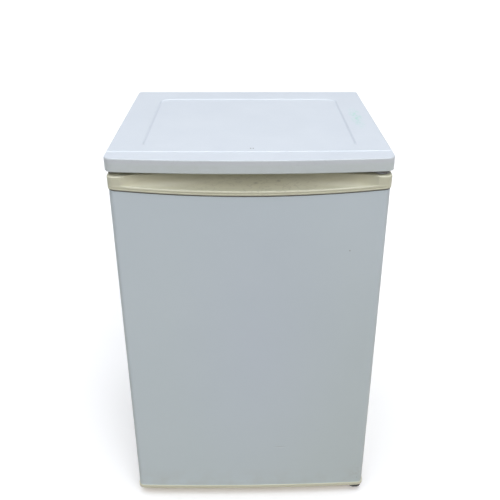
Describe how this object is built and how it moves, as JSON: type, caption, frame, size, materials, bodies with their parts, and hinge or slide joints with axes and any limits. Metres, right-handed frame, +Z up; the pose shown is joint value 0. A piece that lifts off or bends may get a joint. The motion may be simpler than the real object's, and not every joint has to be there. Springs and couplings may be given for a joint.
{
  "type": "undercounter refrigerator",
  "caption": "Undercounter larder fridge with a bowed worktop, a hinged door with a full-width finger pull, wire shelves, door shelves, a salad drawer and a rear wire condenser.",
  "frame": {"origin": "on the floor under the centre of the overall box", "axes": "+Z up, -Y towards the door side, +X towards the hinge side"},
  "size_m": [0.55, 0.5599, 0.85],
  "materials": {
    "white_worktop": "satin",
    "white_enamel": "satin",
    "galvanised": "matte",
    "foam": "matte",
    "white_liner": "satin",
    "zinc": "satin",
    "black_plastic": "matte",
    "cream_plastic": "satin",
    "rubber": "matte",
    "black_paint": "satin",
    "motor_iron": "matte",
    "copper": "satin",
    "aluminium": "satin",
    "hose_plastic": "matte",
    "white_plastic": "satin",
    "clear_plastic": "gloss",
    "lamp_glass": "gloss",
    "coated_wire": "satin",
    "shelf_glass": "gloss",
    "gasket": "matte",
    "nylon": "matte",
    "bin_plastic": "satin"
  },
  "bodies": {
    "cabinet": {"worktop": "white_worktop", "side_panel_left": "white_enamel", "side_panel_right": "white_enamel", "top_panel": "white_enamel", "front_rail": "white_enamel", "back_panel": "galvanised", "base_panel": "galvanised", "cabinet_foam": "foam", "inner_liner": "white_liner", "top_hinge_bracket": "zinc", "bottom_hinge_bracket": "zinc", "hinge_pins": "zinc", "cabinet_screws": "zinc", "base_rails": "galvanised", "rear_feet": "black_plastic", "plinth": "cream_plastic", "compressor_plate": "galvanised", "compressor_mounts": "rubber", "compressor_bolts": "zinc", "compressor_shell": "black_paint", "compressor_motor": "motor_iron", "terminal_box": "black_plastic", "cord_gland": "black_plastic", "condenser_tube": "black_paint", "condenser_wires": "black_paint", "condenser_brackets": "black_plastic", "filter_drier": "copper", "capillary_tube": "copper", "suction_line": "copper", "evaporator_plate": "aluminium", "drip_tray": "black_plastic", "drain_hose": "hose_plastic", "control_housing": "white_plastic", "lamp_cover": "clear_plastic", "lamp_bulb": "lamp_glass", "lamp_holder": "white_plastic", "thermostat_body": "zinc", "crisper_cover": "shelf_glass", "crisper_trim": "white_plastic"},
    "door": {"door_skin": "white_enamel", "door_top_cap": "cream_plastic", "door_bottom_cap": "cream_plastic", "door_liner": "white_liner", "door_foam": "foam", "door_gasket": "gasket", "hinge_bushes": "nylon", "hinge_hole_plugs": "cream_plastic"},
    "bottle_bin": {"door_bin_bottle": "bin_plastic"},
    "middle_bin": {"door_bin_middle": "bin_plastic"},
    "top_bin": {"door_bin_top": "bin_plastic"},
    "dairy_lid": {"dairy_lid": "clear_plastic"},
    "crisper": {"crisper_drawer": "clear_plastic"},
    "shelf_low": {"wire_shelf_low": "coated_wire"},
    "shelf_middle": {"wire_shelf_middle": "coated_wire"},
    "shelf_top": {"wire_shelf_top": "coated_wire"},
    "light_switch": {"light_switch": "white_plastic"},
    "thermostat_knob": {"thermostat_knob": "white_plastic", "thermostat_spindle": "zinc"},
    "foot_left": {"front_foot_left": "black_plastic"},
    "foot_right": {"front_foot_right": "black_plastic"}
  },
  "joints": [
    {"name": "door_hinge", "type": "hinge", "parent": "cabinet", "child": "door", "pos_m": [0.254, -0.248, 0.4], "axis": [0, 0, 1], "range_deg": [0, 120]},
    {"name": "crisper_slide", "type": "slide", "parent": "cabinet", "child": "crisper", "axis": [0, -1, 0], "range_m": [0, 0.1652]},
    {"name": "shelf_low_slide", "type": "slide", "parent": "cabinet", "child": "shelf_low", "axis": [0, -1, 0], "range_m": [0, 0.01]},
    {"name": "shelf_middle_slide", "type": "slide", "parent": "cabinet", "child": "shelf_middle", "axis": [0, -1, 0], "range_m": [0, 0.01]},
    {"name": "shelf_top_slide", "type": "slide", "parent": "cabinet", "child": "shelf_top", "axis": [0, -1, 0], "range_m": [0, 0.01]},
    {"name": "switch_plunger", "type": "slide", "parent": "cabinet", "child": "light_switch", "axis": [0, -1, 0], "range_m": [0, 0.00601]},
    {"name": "thermostat_turn", "type": "hinge", "parent": "cabinet", "child": "thermostat_knob", "pos_m": [0.19, 0.012, 0.728], "axis": [-1, 0, 0], "range_deg": [0, 290]},
    {"name": "bottle_bin_lift", "type": "slide", "parent": "door", "child": "bottle_bin", "axis": [0, 0, 1], "range_m": [0, 0.03]},
    {"name": "middle_bin_lift", "type": "slide", "parent": "door", "child": "middle_bin", "axis": [0, 0, 1], "range_m": [0, 0.03]},
    {"name": "top_bin_lift", "type": "slide", "parent": "door", "child": "top_bin", "axis": [0, 0, 1], "range_m": [0, 0.008]},
    {"name": "dairy_lid_hinge", "type": "hinge", "parent": "top_bin", "child": "dairy_lid", "pos_m": [0, -0.211, 0.666], "axis": [1, 0, 0], "range_deg": [0, 80]},
    {"name": "foot_left_screw", "type": "slide", "parent": "cabinet", "child": "foot_left", "axis": [0, 0, -1], "range_m": [0, 0.015]},
    {"name": "foot_right_screw", "type": "slide", "parent": "cabinet", "child": "foot_right", "axis": [0, 0, -1], "range_m": [0, 0.015]}
  ],
  "couplings": [
    {"joint": "crisper_slide", "follows": "door_hinge", "m_per_rad": 0.0788},
    {"joint": "switch_plunger", "follows": "door_hinge", "m_per_rad": 0.002865}
  ]
}
